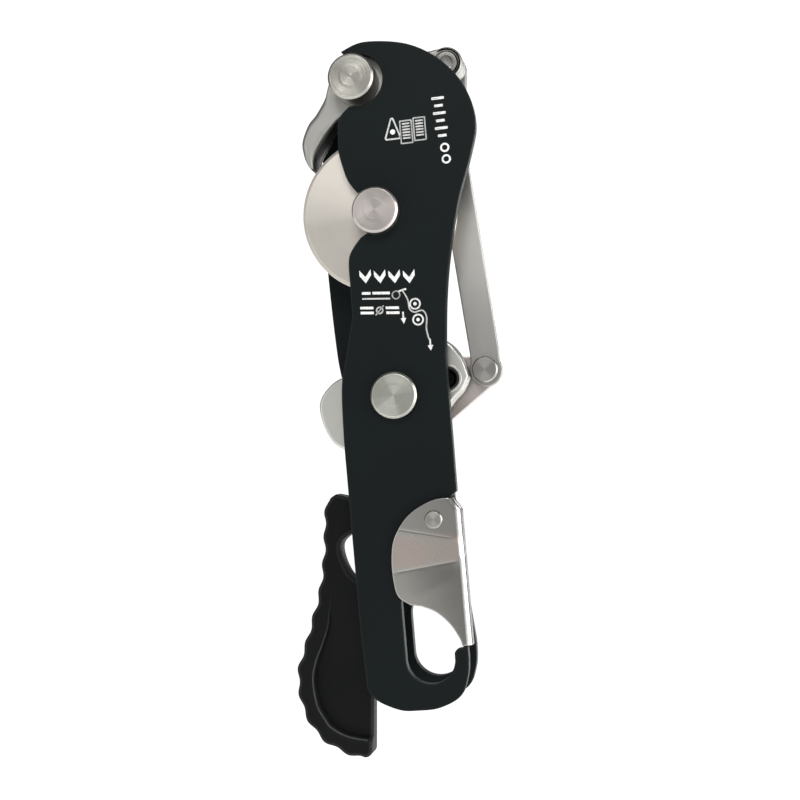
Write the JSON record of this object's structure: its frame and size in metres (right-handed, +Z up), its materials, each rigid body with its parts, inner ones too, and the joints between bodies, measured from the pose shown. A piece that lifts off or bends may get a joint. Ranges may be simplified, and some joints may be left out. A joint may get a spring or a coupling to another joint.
{
  "type": "rope descender",
  "caption": "Double-stop rope descender: two side plates, fixed bobbin, braking cam with folding handle, linked brake finger and sprung gate over the carabiner eye.",
  "frame": {"origin": "middle of the carabiner eye, half way between the side plates", "axes": "+Z up along the body towards the top axle, +Y from the swinging front plate to the fixed back plate, +X to the right seen from the front"},
  "size_m": [0.0808, 0.0348, 0.2468],
  "materials": {
    "black_anodised": "black anodised, satin",
    "turned_steel": "turned, fine concentric lines",
    "satin_aluminium": "satin, fine turned lines",
    "cast_aluminium": "cast, lightly blasted, polished rim",
    "cast_steel": "cast, satin",
    "brushed_steel": "brushed lengthways",
    "sheet_steel": "bright rolled stainless sheet",
    "black_nylon": "moulded, matte",
    "bronze": "sintered bush",
    "spring_steel": "drawn wire"
  },
  "bodies": {
    "chassis": {"back_plate": "black_anodised", "top_axle": "turned_steel", "top_axle_screw": "turned_steel", "top_axle_washer": "turned_steel", "middle_axle": "turned_steel", "middle_axle_screw": "turned_steel", "middle_axle_washer": "turned_steel", "lower_axle": "turned_steel", "lower_axle_screw": "turned_steel", "lower_axle_washer": "turned_steel", "upper_bobbin": "satin_aluminium", "bobbin_dowel": "turned_steel", "bobbin_spacer": "turned_steel", "handle_stop_pin": "turned_steel", "top_spacer": "turned_steel", "cam_washer": "turned_steel"},
    "front_plate": {"front_plate": "black_anodised", "plate_bush": "bronze", "gate_pin": "turned_steel", "gate_washer": "turned_steel"},
    "gate": {"gate": "sheet_steel", "gate_spring": "spring_steel"},
    "lever": {"cam": "cast_aluminium", "cam_bush": "bronze", "cam_eyelet": "turned_steel", "cam_eyelet_spacer": "turned_steel", "arm_plate": "brushed_steel", "link_pin": "turned_steel", "handle_grip": "black_nylon", "grip_rivet_1": "turned_steel", "grip_rivet_2": "turned_steel"},
    "finger": {"brake_finger": "cast_steel", "finger_bush": "bronze", "eye_rivet": "turned_steel"},
    "link": {"link_bar": "brushed_steel"}
  },
  "joints": [
    {"name": "front_plate_swing", "type": "hinge", "parent": "chassis", "child": "front_plate", "pos_m": [-0.0046, 0, 0.0833], "axis": [0, 1, 0], "range_deg": [0, 75]},
    {"name": "gate_hinge", "type": "hinge", "parent": "front_plate", "child": "gate", "pos_m": [0.0054, 0, 0.0403], "axis": [0, 1, 0], "range_deg": [0, 25], "stiffness_Nm_per_rad": 0.02, "springref_deg": -28.65},
    {"name": "handle_pivot", "type": "hinge", "parent": "chassis", "child": "lever", "pos_m": [-0.0046, 0, 0.0833], "axis": [0, 1, 0], "range_deg": [0, 42]},
    {"name": "finger_pivot", "type": "hinge", "parent": "chassis", "child": "finger", "pos_m": [-0.01, 0, 0.1937], "axis": [0, 1, 0], "range_deg": [0, 41.5]},
    {"name": "link_pivot", "type": "hinge", "parent": "lever", "child": "link", "pos_m": [0.0255, 0, 0.0901], "axis": [0, 1, 0], "range_deg": [-43.6, 0]}
  ],
  "couplings": [
    {"joint": "finger_pivot", "follows": "handle_pivot", "ratio": 0.984},
    {"joint": "link_pivot", "follows": "handle_pivot", "ratio": -1.0367}
  ]
}
